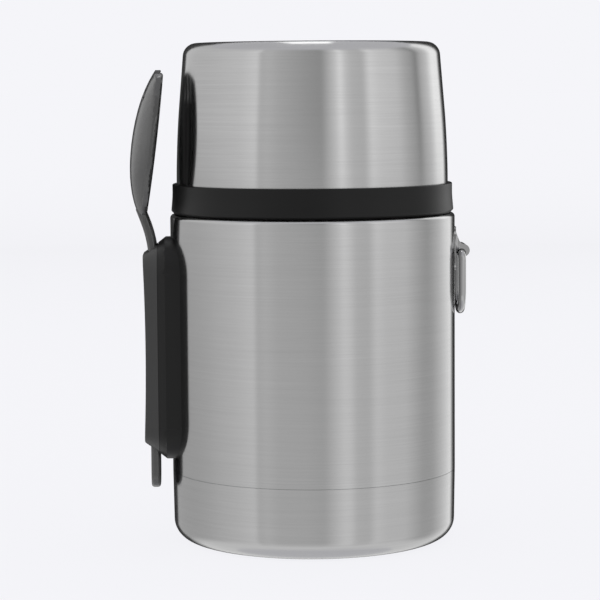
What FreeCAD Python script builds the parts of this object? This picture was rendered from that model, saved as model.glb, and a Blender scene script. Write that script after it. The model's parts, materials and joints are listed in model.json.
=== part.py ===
import FreeCAD, Part

# Insulated food jar: a double-walled steel jar with a screwed stopper, a bowl lid with a
# black collar, a spork in a moulded side holder, and a hanging ring on a hooked bracket.
# Millimetres, +Z up, origin on the jar's axis at the plane that it stands on.
# The holder and the spork are on the -X side, the bracket and the ring on the +X side.

import math
import os

# Steel jar
BODY_DIAMETER = 100.0
BODY_HEIGHT = 114.8
SHOULDER_ROUND = 1.3
STEEL_WALL = 0.7
VACUUM_GAP = 5.0
SEAM_HEIGHT = 24.8
SEAM_GAP = 0.12
FOOT_CORNER = 7.0
FOOT_TAPER = 0.4
FOOT_RING_WIDTH = 12.0
FOOT_RECESS = 1.8
INNER_CORNER = 9.0
JOIN_SLEEVE = 8.0
SEAL_DIAMETER = 9.0
SEAL_THICKNESS = 1.2
VENT_DIAMETER = 2.5
VACUUM_BOTTOM_TAPER = 1.4
GETTER_DIAMETER = 16.0
GETTER_THICKNESS = 2.4

# Neck and mouth
MOUTH_INSET = 12.0
NECK_HEIGHT = 12.6
NECK_WALL_GAP = 1.5
NECK_DEPTH = 18.0
NECK_FLARE = 7.0
LIP_THICKNESS = 1.1
LIP_BEVEL = 0.3

# Stopper
STOPPER_CLEARANCE = 0.3
THREAD_HEIGHT = 0.9
PLUG_DEPTH = 15.0
PLUG_WALL = 2.0
PLUG_BEVEL = 1.2
STOPPER_FLANGE = 2.0
STOPPER_SEAL_THICKNESS = 1.4
FLANGE_LAP = 0.8
CAP_RISE = 9.0
CAP_SPIGOT = 2.0
CAP_FLOOR = 1.6
CAP_DISH_WALL = 12.0
CAP_DISH_DEPTH = 4.5
CAP_BEVEL = 1.2
SCALLOPS = 12
SCALLOP_RADIUS = 8.0
SCALLOP_BITE = 2.0
SEAL_CLEARANCE = 0.12

# Bowl lid
COLLAR_GAP = 0.2
COLLAR_HEIGHT = 10.4
COLLAR_INSET = 0.9
COLLAR_FLARE = 0.45
COLLAR_FLARE_HEIGHT = 6.2
COLLAR_CHAMFER = 1.1
COLLAR_BEVEL = 0.35
COLLAR_CLEARANCE = 0.3
LID_RISE = 49.0
LID_INSET = 2.4
LID_TOP_TAPER = 3.0
LID_KNEE_RISE = 13.0
LID_KNEE_ROUND = 300.0
LID_CORNER = 4.6
LID_SEAT = 4.0
LID_PANEL_RIM = 6.6
LID_PANEL_DEPTH = 0.7
BOWL_WALL_GAP = 1.5
BOWL_CEILING_GAP = 4.0
BOWL_TAPER = 2.0
BOWL_CORNER = 7.0
LID_SEAL_INSET = 1.4
LID_SEAL_WIDTH = 3.2
LID_SEAL_THICKNESS = 1.2

# Hanging ring and its bracket
RING_WIRE = 2.7
RING_LOOP_WIDTH = 13.6
RING_LOOP_DROP = 17.8
RING_TOP_ROUND = 2.4
RING_HEIGHT = 100.6
RING_CLEARANCE = 0.2
BRACKET_PLATE = 0.5
BRACKET_WIDTH = 12.0
BRACKET_ABOVE = 9.0
BRACKET_BELOW = 6.5
HOOK_OUTER_RADIUS = 2.2
HOOK_SHIFT_OUT = 0.7
HOOK_SHIFT_UP = 0.9
HOOK_SHOULDER_OUT = 1.0
HOOK_SHOULDER_UP = 0.7
HOOK_SHOULDER_ROUND = 2.0
HOOK_ROOT_RISE = 6.4
HOOK_ROOT_ROUND = 3.0
HOOK_MOUTH = 2.45
PLATE_CORNER = 2.5

# Spork
HANDLE_THICKNESS = 3.2
HANDLE_WIDTH = 15.0
HANDLE_STANDOFF = 5.95
HANDLE_BOTTOM = 18.2
HANDLE_ROUND = 1.1
HANDLE_END_ROUND = 6.0
NECK_START = 97.6
NECK_WIDTH = 11.0
NECK_TAPER = 8.0
NECK_ROUND = 12.0
NECK_ROOT_WIDTH = 7.0
NECK_LEAN = 21.0
NECK_BEND = 42.0
NECK_OVERLAP = 4.0
BOWL_BASE = 113.2
BOWL_HALF_WIDTH = 16.5
BOWL_EGG_OVERRUN = 6.0
BOWL_LENGTH = 52.0
BOWL_TIP_RADIUS = 24.0
BOWL_WALL = 1.8
RIM_BAND = 1.8
TINE_GAPS = 3
TINE_GAP_WIDTH = 2.2
TINE_PITCH = 5.8
TINE_DEPTH = 10.0
# Side view of the bowl: rise above its base, and how far out of the handle's centre plane.
KEEL_POINTS = ((2, 5.4), (14, 7.9), (28, 7.1), (42, 3.65), (52, -1.35))
RIM_POINTS = ((6, 1.65), (28, -1.3), (52, -4.0))
# Level sections of the bowl, as shares of its length; the last stands above the tip.
BOWL_SHARES = (0.006, 0.025, 0.07, 0.145, 0.25, 0.385, 0.54, 0.69, 0.825, 0.925, 1.02)

# Spork holder
HOLDER_BOTTOM = 29.2
HOLDER_TOP = 106.6
HOLDER_HALF_WIDTH = 18.3
HOLDER_CORNER = 12.0
HOLDER_SHELF = 1.8
CREASE_OUT = 4.4
CREASE_INSET = 1.4
CREASE_END_INSET = 2.0
FACE_OUT = 9.7
FACE_INSET = 8.3
FACE_END_INSET = 5.6
FACE_CORNER = 5.0
FACE_WAIST = 0.75
FACE_ROUND = 0.9
CHANNEL_CLEARANCE = 0.3
COVER_GAP = 0.1
PEG_DIAMETER = 3.0
PEG_LENGTH = 2.2
PEG_CLEARANCE = 0.15
PEG_SIDE = 12.0
PEG_ROOT = 0.5
SCREW_SPREAD = 36.0
SCREW_DIAMETER = 3.0
SCREW_HEAD_DIAMETER = 5.8
SCREW_HEAD_DEPTH = 1.4
SCREW_CLEARANCE = 0.06
SCREW_SINK = 0.15
BOSS_DIAMETER = 8.0
BOSS_HEIGHT = 1.6
BOSS_CLEARANCE = 0.15

# How far a cutting shape runs past the faces that it cuts
CUT_MARGIN = 1.0

# Worked out from the sizes above
BODY_RADIUS = BODY_DIAMETER / 2
SHELL_INNER = BODY_RADIUS - STEEL_WALL
LINER_OUTER = SHELL_INNER - VACUUM_GAP
LINER_INNER = LINER_OUTER - STEEL_WALL
MOUTH_RADIUS = BODY_RADIUS - MOUTH_INSET
NECK_INNER = MOUTH_RADIUS + STEEL_WALL + NECK_WALL_GAP
NECK_OUTER = NECK_INNER + STEEL_WALL
MOUTH_HEIGHT = BODY_HEIGHT + NECK_HEIGHT
OUTER_BOTTOM = FOOT_RECESS + STEEL_WALL + SEAL_THICKNESS + COVER_GAP
LINER_BOTTOM = OUTER_BOTTOM + STEEL_WALL + VACUUM_GAP
FOOT_TOP_RADIUS = BODY_RADIUS - FOOT_TAPER
FOOT_RING_INNER = FOOT_TOP_RADIUS - FOOT_CORNER - FOOT_RING_WIDTH

PLUG_RADIUS = MOUTH_RADIUS - STOPPER_CLEARANCE - THREAD_HEIGHT
PLUG_BOTTOM = MOUTH_HEIGHT - PLUG_DEPTH
FLANGE_BOTTOM = MOUTH_HEIGHT + STOPPER_SEAL_THICKNESS + 2 * SEAL_CLEARANCE
FLANGE_TOP = FLANGE_BOTTOM + STOPPER_FLANGE
FLANGE_RADIUS = MOUTH_RADIUS + FLANGE_LAP
PLUG_BORE = PLUG_RADIUS - PLUG_WALL
CAP_TOP = FLANGE_TOP + CAP_RISE

COLLAR_BOTTOM = BODY_HEIGHT + COLLAR_GAP
COLLAR_TOP = COLLAR_BOTTOM + COLLAR_HEIGHT
COLLAR_RADIUS = BODY_RADIUS - COLLAR_INSET
COLLAR_INNER = NECK_OUTER + THREAD_HEIGHT + COLLAR_CLEARANCE
LID_TOP = COLLAR_TOP + LID_RISE
LID_RADIUS = BODY_RADIUS - LID_INSET
LID_TOP_RADIUS = LID_RADIUS - LID_TOP_TAPER
LID_INNER = LID_RADIUS - STEEL_WALL
BOWL_MOUTH = LID_INNER - BOWL_WALL_GAP
LID_SEAL_INNER = COLLAR_INNER + LID_SEAL_INSET
LID_SEAL_OUTER = LID_SEAL_INNER + LID_SEAL_WIDTH

WIRE_RADIUS = RING_WIRE / 2
HOOK_HOLE = WIRE_RADIUS + RING_CLEARANCE
PLATE_FACE = BODY_RADIUS + BRACKET_PLATE
RING_AXIS_X = PLATE_FACE + HOOK_HOLE
RING_LIMB_Y = RING_LOOP_WIDTH / 2 + WIRE_RADIUS
RING_BEND = RING_LIMB_Y

HANDLE_OUT = BODY_RADIUS + HANDLE_STANDOFF
HANDLE_NEAR = HANDLE_OUT - HANDLE_THICKNESS / 2
HANDLE_FAR = HANDLE_OUT + HANDLE_THICKNESS / 2
CHANNEL_NEAR = HANDLE_NEAR - CHANNEL_CLEARANCE
CHANNEL_FAR = HANDLE_FAR + CHANNEL_CLEARANCE
CHANNEL_HALF = HANDLE_WIDTH / 2 + CHANNEL_CLEARANCE
TRIM_X = HANDLE_OUT - BOWL_HALF_WIDTH
SHELF_X = BODY_RADIUS + HOLDER_SHELF
CREASE_X = BODY_RADIUS + CREASE_OUT
FACE_X = BODY_RADIUS + FACE_OUT
BOSS_X = BODY_RADIUS + BOSS_HEIGHT
HOLDER_MIDDLE = (HOLDER_BOTTOM + HOLDER_TOP) / 2
SCREW_HEIGHTS = (HOLDER_MIDDLE - SCREW_SPREAD / 2, HOLDER_MIDDLE + SCREW_SPREAD / 2)

# Share of a round corner's radius at which a straight bevel just touches its arc
TANGENT_BEVEL = 2 - math.sqrt(2)
# Lengths below this count as none
TINY = 1e-6

ORIGIN = FreeCAD.Vector(0, 0, 0)
AXIS_X = FreeCAD.Vector(1, 0, 0)
AXIS_Y = FreeCAD.Vector(0, 1, 0)
AXIS_Z = FreeCAD.Vector(0, 0, 1)


def point(x, y, z):
    return FreeCAD.Vector(x, y, z)


def rounded_wire(corners):
    """Closed wire in the XZ plane through (x, z, radius) corners, each rounded by a tangent arc.

    A negative radius cuts the corner straight, from one end of its arc to the other.
    """
    count = len(corners)
    cuts = []
    for i, (x, z, radius) in enumerate(corners):
        here = point(x, 0, z)
        before = point(corners[i - 1][0], 0, corners[i - 1][1])
        after = point(corners[(i + 1) % count][0], 0, corners[(i + 1) % count][1])
        back = (before - here).normalize()
        ahead = (after - here).normalize()
        half = back.getAngle(ahead) / 2
        reach = abs(radius) / math.tan(half)
        middle = (back + ahead).normalize() * (radius / math.sin(half) - radius)
        cuts.append((here + back * reach, here + middle, here + ahead * reach))
    edges = []
    for i, (start, middle, end) in enumerate(cuts):
        if corners[i][2] > 0:
            edges.append(Part.Arc(start, middle, end).toShape())
        elif corners[i][2] < 0:
            edges.append(Part.LineSegment(start, end).toShape())
        following = cuts[(i + 1) % count][0]
        if (following - end).Length > TINY:
            edges.append(Part.LineSegment(end, following).toShape())
    return Part.Wire(edges)


def turned(corners):
    """Solid of revolution about the jar's axis, from (radius, height, corner radius) corners."""
    return Part.Face(rounded_wire(corners)).revolve(ORIGIN, AXIS_Z, 360)


def ring_solid(inner, outer, bottom, top):
    """Plain ring about the jar's axis."""
    return turned([(inner, bottom, 0), (outer, bottom, 0), (outer, top, 0), (inner, top, 0)])


def across(corners, half_width):
    """Solid of an XZ outline of (x, z, radius) corners, as wide as given on both sides of Y = 0."""
    face = Part.Face(rounded_wire(corners))
    face.translate(point(0, -half_width, 0))
    return face.extrude(point(0, 2 * half_width, 0))


def bar_x(radius, start, end, y, z):
    """Round bar along X."""
    return Part.makeCylinder(radius, end - start, point(start, y, z), AXIS_X)


def half_turn(shape):
    """Carries a piece that was drawn on the +X side round to the -X side."""
    turned_shape = shape.copy()
    turned_shape.rotate(ORIGIN, AXIS_Z, 180)
    return turned_shape


def jar_cylinder(clearance=0.0):
    """The space that the jar's round wall takes."""
    return Part.makeCylinder(BODY_RADIUS + clearance, LID_TOP, point(0, 0, 0), AXIS_Z)


# Jar body


def outer_shell():
    """Outer steel wall, from the seam up over the shoulder to the top of the neck."""
    bottom = SEAM_HEIGHT + SEAM_GAP
    neck_top = MOUTH_HEIGHT - LIP_THICKNESS
    return turned([
        (BODY_RADIUS, bottom, 0),
        (BODY_RADIUS, BODY_HEIGHT, SHOULDER_ROUND),
        (NECK_OUTER, BODY_HEIGHT, 0),
        (NECK_OUTER, neck_top, 0),
        (NECK_INNER, neck_top, 0),
        (NECK_INNER, BODY_HEIGHT - STEEL_WALL, 0),
        (SHELL_INNER, BODY_HEIGHT - STEEL_WALL, 0),
        (SHELL_INNER, bottom, 0),
    ])


def base_cup():
    """Lower steel cup below the seam, with a taper to its rounded foot and a recessed middle."""
    inner_corner = FOOT_CORNER - STEEL_WALL
    outside = turned([
        (0, FOOT_RECESS, 0),
        (FOOT_RING_INNER - FOOT_RECESS, FOOT_RECESS, 0),
        (FOOT_RING_INNER, 0, 0),
        (FOOT_TOP_RADIUS, 0, FOOT_CORNER),
        (BODY_RADIUS, SEAM_HEIGHT, 0),
        (0, SEAM_HEIGHT, 0),
    ])
    inside = turned([
        (0, FOOT_RECESS + STEEL_WALL, 0),
        (FOOT_RING_INNER - FOOT_RECESS, FOOT_RECESS + STEEL_WALL, 0),
        (FOOT_RING_INNER, STEEL_WALL, 0),
        (FOOT_TOP_RADIUS - STEEL_WALL, STEEL_WALL, -inner_corner),
        (SHELL_INNER, SEAM_HEIGHT - JOIN_SLEEVE, 0),
        (SHELL_INNER, SEAM_HEIGHT + CUT_MARGIN, 0),
        (0, SEAM_HEIGHT + CUT_MARGIN, 0),
    ])
    return outside.cut(inside)


def vacuum_bottom():
    """Steel dish that closes the vacuum space; its skirt sleeves the seam from inside."""
    corner = INNER_CORNER
    outer = SHELL_INNER
    knee = SEAM_HEIGHT - JOIN_SLEEVE
    taper = outer - VACUUM_BOTTOM_TAPER
    outside = turned([
        (0, OUTER_BOTTOM, 0),
        (taper, OUTER_BOTTOM, -corner),
        (outer, knee, 0),
        (outer, SEAM_HEIGHT + JOIN_SLEEVE, 0),
        (0, SEAM_HEIGHT + JOIN_SLEEVE, 0),
    ])
    inside = turned([
        (0, OUTER_BOTTOM + STEEL_WALL, 0),
        (taper - STEEL_WALL, OUTER_BOTTOM + STEEL_WALL, STEEL_WALL - corner),
        (outer - STEEL_WALL, knee, 0),
        (outer - STEEL_WALL, SEAM_HEIGHT + JOIN_SLEEVE + CUT_MARGIN, 0),
        (0, SEAM_HEIGHT + JOIN_SLEEVE + CUT_MARGIN, 0),
    ])
    vent = Part.makeCylinder(VENT_DIAMETER / 2, 4 * STEEL_WALL, point(0, 0, OUTER_BOTTOM - STEEL_WALL))
    return outside.cut(inside).cut(vent)


def vacuum_seal():
    """Bead that plugs the evacuation hole from below, under the base cup's cover."""
    bottom = OUTER_BOTTOM - SEAL_THICKNESS
    return turned([
        (0, bottom, 0),
        (SEAL_DIAMETER / 2 - SEAL_THICKNESS, bottom, 0),
        (SEAL_DIAMETER / 2, OUTER_BOTTOM, 0),
        (0, OUTER_BOTTOM, 0),
    ])


def getter():
    """Round gas getter under the liner's floor, inside the vacuum space."""
    bottom = LINER_BOTTOM - GETTER_THICKNESS
    return turned([
        (0, bottom, 0),
        (GETTER_DIAMETER / 2, bottom, 0),
        (GETTER_DIAMETER / 2, LINER_BOTTOM, 0),
        (0, LINER_BOTTOM, 0),
    ])


def inner_liner():
    """Inner steel vessel with its narrower neck and the lip that closes the top of the neck."""
    neck_outer = MOUTH_RADIUS + STEEL_WALL
    neck_bottom = MOUTH_HEIGHT - NECK_DEPTH
    flare_bottom = neck_bottom - NECK_FLARE
    outside = turned([
        (0, LINER_BOTTOM, 0),
        (LINER_OUTER, LINER_BOTTOM, -TANGENT_BEVEL * INNER_CORNER),
        (LINER_OUTER, flare_bottom, 0),
        (neck_outer, neck_bottom, 0),
        (neck_outer, MOUTH_HEIGHT - LIP_THICKNESS, 0),
        (NECK_OUTER, MOUTH_HEIGHT - LIP_THICKNESS, 0),
        (NECK_OUTER, MOUTH_HEIGHT, -LIP_BEVEL),
        (0, MOUTH_HEIGHT, 0),
    ])
    inside = turned([
        (0, LINER_BOTTOM + STEEL_WALL, 0),
        (LINER_INNER, LINER_BOTTOM + STEEL_WALL, INNER_CORNER - STEEL_WALL),
        (LINER_INNER, flare_bottom, 0),
        (MOUTH_RADIUS, neck_bottom, 0),
        (MOUTH_RADIUS, MOUTH_HEIGHT + CUT_MARGIN, 0),
        (0, MOUTH_HEIGHT + CUT_MARGIN, 0),
    ])
    return outside.cut(inside)


# Stopper


def stopper_body():
    """Hollow plug under the flange of the cap; the bowl lid hides it."""
    outside = turned([
        (0, PLUG_BOTTOM, 0),
        (PLUG_RADIUS, PLUG_BOTTOM, -PLUG_BEVEL),
        (PLUG_RADIUS, FLANGE_BOTTOM, 0),
        (0, FLANGE_BOTTOM, 0),
    ])
    hollow = turned([
        (0, PLUG_BOTTOM + PLUG_WALL, 0),
        (PLUG_BORE, PLUG_BOTTOM + PLUG_WALL, 0),
        (PLUG_BORE, FLANGE_BOTTOM + CUT_MARGIN, 0),
        (0, FLANGE_BOTTOM + CUT_MARGIN, 0),
    ])
    return outside.cut(hollow)


def stopper_foam():
    """Foam puck that fills the plug below the cap's spigot."""
    radius = PLUG_BORE - COVER_GAP
    top = FLANGE_BOTTOM - CAP_SPIGOT - COVER_GAP
    return turned([
        (0, PLUG_BOTTOM + PLUG_WALL, 0),
        (radius, PLUG_BOTTOM + PLUG_WALL, 0),
        (radius, top, 0),
        (0, top, 0),
    ])


def stopper_cap():
    """Top of the stopper: flange and dished knob with finger scallops; its spigot snaps into the plug."""
    dish = FLANGE_RADIUS - CAP_DISH_WALL
    cap = turned([
        (0, FLANGE_BOTTOM - CAP_SPIGOT, 0),
        (PLUG_BORE - COVER_GAP, FLANGE_BOTTOM - CAP_SPIGOT, 0),
        (PLUG_BORE - COVER_GAP, FLANGE_BOTTOM, 0),
        (FLANGE_RADIUS, FLANGE_BOTTOM, 0),
        (FLANGE_RADIUS, CAP_TOP, -CAP_BEVEL),
        (dish, CAP_TOP, 0),
        (dish - CAP_DISH_DEPTH, CAP_TOP - CAP_DISH_DEPTH, 0),
        (0, CAP_TOP - CAP_DISH_DEPTH, 0),
    ])
    scallop_floor = FLANGE_TOP + CAP_FLOOR
    for i in range(SCALLOPS):
        angle = 2 * math.pi * i / SCALLOPS
        reach = FLANGE_RADIUS + SCALLOP_RADIUS - SCALLOP_BITE
        place = point(reach * math.cos(angle), reach * math.sin(angle), scallop_floor)
        cap = cap.cut(Part.makeCylinder(SCALLOP_RADIUS, CAP_RISE, place))
    return cap


def stopper_seal():
    """Soft ring between the stopper's flange and the jar's lip."""
    bottom = MOUTH_HEIGHT + SEAL_CLEARANCE
    return ring_solid(PLUG_RADIUS + COVER_GAP, FLANGE_RADIUS, bottom, bottom + STOPPER_SEAL_THICKNESS)


# Bowl lid


def lid_shell():
    """Outer steel skin of the bowl lid: nearly straight, drawn in towards a rounded top."""
    bottom = COLLAR_TOP - LID_SEAT
    knee = COLLAR_TOP + LID_KNEE_RISE
    panel = LID_TOP_RADIUS - LID_PANEL_RIM
    outside = turned([
        (0, LID_TOP - LID_PANEL_DEPTH, 0),
        (panel - 2 * LID_PANEL_DEPTH, LID_TOP - LID_PANEL_DEPTH, 0),
        (panel, LID_TOP, 0),
        (LID_TOP_RADIUS, LID_TOP, LID_CORNER),
        (LID_RADIUS, knee, LID_KNEE_ROUND),
        (LID_RADIUS, bottom, 0),
        (0, bottom, 0),
    ])
    ceiling = LID_TOP - LID_PANEL_DEPTH - STEEL_WALL
    inside = turned([
        (0, ceiling, 0),
        (LID_TOP_RADIUS - STEEL_WALL, ceiling, STEEL_WALL - LID_CORNER),
        (LID_INNER, knee, 0),
        (LID_INNER, bottom - CUT_MARGIN, 0),
        (0, bottom - CUT_MARGIN, 0),
    ])
    return outside.cut(inside)


def lid_bowl():
    """Inner steel bowl of the lid, with a flange that rests on the collar."""
    ceiling = LID_TOP - LID_PANEL_DEPTH - STEEL_WALL - BOWL_CEILING_GAP
    top_radius = BOWL_MOUTH - BOWL_TAPER
    outside = turned([
        (0, ceiling, 0),
        (top_radius, ceiling, -TANGENT_BEVEL * BOWL_CORNER),
        (BOWL_MOUTH, COLLAR_TOP + STEEL_WALL, 0),
        (LID_INNER - COVER_GAP, COLLAR_TOP + STEEL_WALL, 0),
        (LID_INNER - COVER_GAP, COLLAR_TOP, 0),
        (0, COLLAR_TOP, 0),
    ])
    inside = turned([
        (0, ceiling - STEEL_WALL, 0),
        (top_radius - STEEL_WALL, ceiling - STEEL_WALL, BOWL_CORNER - STEEL_WALL),
        (BOWL_MOUTH - STEEL_WALL, COLLAR_TOP - CUT_MARGIN, 0),
        (0, COLLAR_TOP - CUT_MARGIN, 0),
    ])
    return outside.cut(inside)


def lid_collar():
    """Black screw collar round the lid's mouth: a slim waist, a flared foot and a chamfer."""
    flare_radius = COLLAR_RADIUS + COLLAR_FLARE
    collar = turned([
        (COLLAR_INNER, COLLAR_BOTTOM, 0),
        (flare_radius - COLLAR_CHAMFER, COLLAR_BOTTOM, 0),
        (flare_radius, COLLAR_BOTTOM + COLLAR_CHAMFER, 0),
        (COLLAR_RADIUS, COLLAR_BOTTOM + COLLAR_FLARE_HEIGHT, 0),
        (COLLAR_RADIUS, COLLAR_TOP, -COLLAR_BEVEL),
        (COLLAR_INNER, COLLAR_TOP, 0),
    ])
    shell_slot = ring_solid(LID_INNER, LID_RADIUS, COLLAR_TOP - LID_SEAT, COLLAR_TOP + CUT_MARGIN)
    seal_top = BODY_HEIGHT + LID_SEAL_THICKNESS + 2 * SEAL_CLEARANCE
    seal_groove = ring_solid(LID_SEAL_INNER - COVER_GAP, LID_SEAL_OUTER + COVER_GAP, BODY_HEIGHT, seal_top)
    return collar.cut(shell_slot).cut(seal_groove)


def lid_seal():
    """Flat soft ring in the collar's foot, which lands on the jar's shoulder."""
    bottom = BODY_HEIGHT + SEAL_CLEARANCE
    return ring_solid(LID_SEAL_INNER, LID_SEAL_OUTER, bottom, bottom + LID_SEAL_THICKNESS)


# Hanging ring


def carry_ring():
    """Closed wire ring: a straight top bar, two limbs and a half-round bottom."""
    limb = RING_LIMB_Y
    corner = RING_TOP_ROUND
    top = RING_HEIGHT
    bend_centre = top - WIRE_RADIUS - RING_LOOP_DROP + RING_BEND - WIRE_RADIUS
    slant = corner * (1 - math.sqrt(0.5))

    def at(y, z):
        return point(RING_AXIS_X, y, z)

    edges = [
        Part.LineSegment(at(0, top), at(limb - corner, top)),
        Part.Arc(at(limb - corner, top), at(limb - slant, top - slant), at(limb, top - corner)),
        Part.LineSegment(at(limb, top - corner), at(limb, bend_centre)),
        Part.Arc(at(limb, bend_centre), at(0, bend_centre - limb), at(-limb, bend_centre)),
        Part.LineSegment(at(-limb, bend_centre), at(-limb, top - corner)),
        Part.Arc(at(-limb, top - corner), at(slant - limb, top - slant), at(corner - limb, top)),
        Part.LineSegment(at(corner - limb, top), at(0, top)),
    ]
    path = Part.Wire([edge.toShape() for edge in edges])
    section = Part.Wire(Part.makeCircle(WIRE_RADIUS, at(0, top), AXIS_Y))
    return Part.Solid(path.makePipeShell([section], True, False))


def ring_bracket():
    """Steel plate on the jar's wall with a hook that folds over the ring's top bar."""
    half = BRACKET_WIDTH / 2
    hook_x = RING_AXIS_X + HOOK_SHIFT_OUT
    hook_z = RING_HEIGHT + HOOK_SHIFT_UP
    hook_top = hook_z + HOOK_OUTER_RADIUS
    plate_bottom = RING_HEIGHT - BRACKET_BELOW
    plate_top = RING_HEIGHT + BRACKET_ABOVE
    plate = Part.makeCylinder(PLATE_FACE, plate_top - plate_bottom, point(0, 0, plate_bottom))
    neck = across([
        (BODY_RADIUS, RING_HEIGHT, 0),
        (hook_x, RING_HEIGHT, 0),
        (hook_x, hook_top, 0),
        (PLATE_FACE + HOOK_SHOULDER_OUT, hook_top + HOOK_SHOULDER_UP, HOOK_SHOULDER_ROUND),
        (PLATE_FACE, RING_HEIGHT + HOOK_ROOT_RISE, HOOK_ROOT_ROUND),
        (BODY_RADIUS, plate_top - HOOK_SHOULDER_OUT, 0),
    ], half)
    curl = Part.makeCylinder(HOOK_OUTER_RADIUS, BRACKET_WIDTH, point(hook_x, -half, hook_z), AXIS_Y)
    hole = Part.makeCylinder(HOOK_HOLE, BRACKET_WIDTH, point(RING_AXIS_X, -half, RING_HEIGHT), AXIS_Y)
    drop = 3 * HOOK_HOLE
    mouth = Part.makeBox(HOOK_MOUTH, BRACKET_WIDTH, drop, point(PLATE_FACE, -half, RING_HEIGHT - drop))
    bracket = plate.fuse([neck, curl]).cut(hole).cut(mouth).cut(jar_cylinder())
    corners = Part.Face(side_outline(half, plate_bottom, plate_top, PLATE_CORNER, behind_wall(half)))
    return bracket.common(corners.extrude(point(BRACKET_WIDTH, 0, 0))).removeSplitter()


# Spork and its holder, drawn on the +X side and carried round to the -X side


def behind_wall(half_width):
    """Distance from the jar's axis just inside its round wall, for a piece of the given half width."""
    return math.sqrt(BODY_RADIUS ** 2 - half_width ** 2) - CUT_MARGIN


def side_outline(half_width, bottom, top, corner, x):
    """Rounded rectangle in the plane of the given X, as a wire of four lines and four arcs."""
    turn = corner * (1 - math.sqrt(0.5))
    edges = []
    signs = ((1, 1), (-1, 1), (-1, -1), (1, -1))
    starts = []
    for i, (side, up) in enumerate(signs):
        edge_y = side * half_width
        edge_z = top if up > 0 else bottom
        on_side = point(x, edge_y, edge_z - up * corner)
        on_end = point(x, edge_y - side * corner, edge_z)
        middle = point(x, edge_y - side * turn, edge_z - up * turn)
        first, last = (on_side, on_end) if i % 2 == 0 else (on_end, on_side)
        starts.append((first, middle, last))
    for i, (first, middle, last) in enumerate(starts):
        edges.append(Part.Arc(first, middle, last).toShape())
        edges.append(Part.LineSegment(last, starts[(i + 1) % 4][0]).toShape())
    return Part.Wire(edges)


def holder_form():
    """Outer form of the holder: upright sides on the wall, a draft to the crease, a chamfered face."""
    back = behind_wall(HOLDER_HALF_WIDTH)
    outlines = [
        side_outline(HOLDER_HALF_WIDTH, HOLDER_BOTTOM, HOLDER_TOP, HOLDER_CORNER, back),
        side_outline(HOLDER_HALF_WIDTH, HOLDER_BOTTOM, HOLDER_TOP, HOLDER_CORNER, SHELF_X),
        side_outline(
            HOLDER_HALF_WIDTH - CREASE_INSET,
            HOLDER_BOTTOM + CREASE_END_INSET,
            HOLDER_TOP - CREASE_END_INSET,
            HOLDER_CORNER - CREASE_INSET,
            CREASE_X,
        ),
        side_outline(
            HOLDER_HALF_WIDTH - FACE_INSET,
            HOLDER_BOTTOM + FACE_END_INSET,
            HOLDER_TOP - FACE_END_INSET,
            FACE_CORNER,
            FACE_X,
        ),
    ]
    form = Part.makeLoft(outlines, True, True)
    length = HOLDER_TOP - HOLDER_BOTTOM - 2 * FACE_END_INSET
    waist_radius = length ** 2 / (8 * FACE_WAIST)
    waist_centre = point(FACE_X - FACE_WAIST + waist_radius, -HOLDER_HALF_WIDTH, HOLDER_MIDDLE)
    waist = Part.makeCylinder(waist_radius, 2 * HOLDER_HALF_WIDTH, waist_centre, AXIS_Y)
    return form.cut(waist).cut(jar_cylinder())


def channel():
    """Space for the spork's handle, open at both ends."""
    length = HOLDER_TOP - HOLDER_BOTTOM + 2 * CUT_MARGIN
    corner = point(CHANNEL_NEAR, -CHANNEL_HALF, HOLDER_BOTTOM - CUT_MARGIN)
    return Part.makeBox(CHANNEL_FAR - CHANNEL_NEAR, 2 * CHANNEL_HALF, length, corner)


def block_beyond(x_start, x_end):
    """Block across the whole holder between two distances from the jar's axis."""
    width = 4 * HOLDER_HALF_WIDTH
    return Part.makeBox(x_end - x_start, width, LID_TOP, point(x_start, -width / 2, 0))


def holder_base():
    """Back half of the holder: it seats on the wall over the bosses and takes the screws."""
    base = holder_form().common(block_beyond(0, CREASE_X)).cut(channel())
    floor = CHANNEL_NEAR - SCREW_SINK
    hole_radius = SCREW_DIAMETER / 2 + BOSS_CLEARANCE
    head_radius = SCREW_HEAD_DIAMETER / 2 + SCREW_CLEARANCE
    pocket_radius = BOSS_DIAMETER / 2 + BOSS_CLEARANCE
    for height in SCREW_HEIGHTS:
        pocket = bar_x(pocket_radius, behind_wall(pocket_radius), BOSS_X + BOSS_CLEARANCE, 0, height)
        hole = bar_x(hole_radius, BODY_RADIUS, CREASE_X, 0, height)
        sink = Part.makeCone(
            SCREW_DIAMETER / 2 + SCREW_CLEARANCE,
            head_radius,
            SCREW_HEAD_DEPTH,
            point(floor - SCREW_HEAD_DEPTH, 0, height),
            AXIS_X,
        )
        mouth = bar_x(head_radius, floor, CREASE_X, 0, height)
        base = base.cut(pocket).cut(hole).cut(sink).cut(mouth)
    peg_end = CREASE_X - PEG_LENGTH - PEG_CLEARANCE
    for y, z in peg_places():
        base = base.cut(bar_x(PEG_DIAMETER / 2 + PEG_CLEARANCE, peg_end, CREASE_X + CUT_MARGIN, y, z))
    return base


def holder_cover():
    """Front half of the holder, which closes the channel and snaps in by four pegs."""
    start = CREASE_X + COVER_GAP
    form = holder_form().common(block_beyond(start, FACE_X + CUT_MARGIN))
    face_edges = [edge for edge in form.Edges if on_front_face(edge)]
    cover = form.makeFillet(FACE_ROUND, face_edges).cut(channel())
    for y, z in peg_places():
        cover = cover.fuse(bar_x(PEG_DIAMETER / 2, CREASE_X - PEG_LENGTH, start + PEG_ROOT, y, z))
    return cover.removeSplitter()


def on_front_face(edge):
    """True for the edges round the holder's outermost face."""
    return edge.BoundBox.XMin > (CREASE_X + FACE_X) / 2


def peg_places():
    """Where the cover's pegs enter the base: two each side of the channel."""
    for y in (-PEG_SIDE, PEG_SIDE):
        for z in SCREW_HEIGHTS:
            yield y, z


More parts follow.
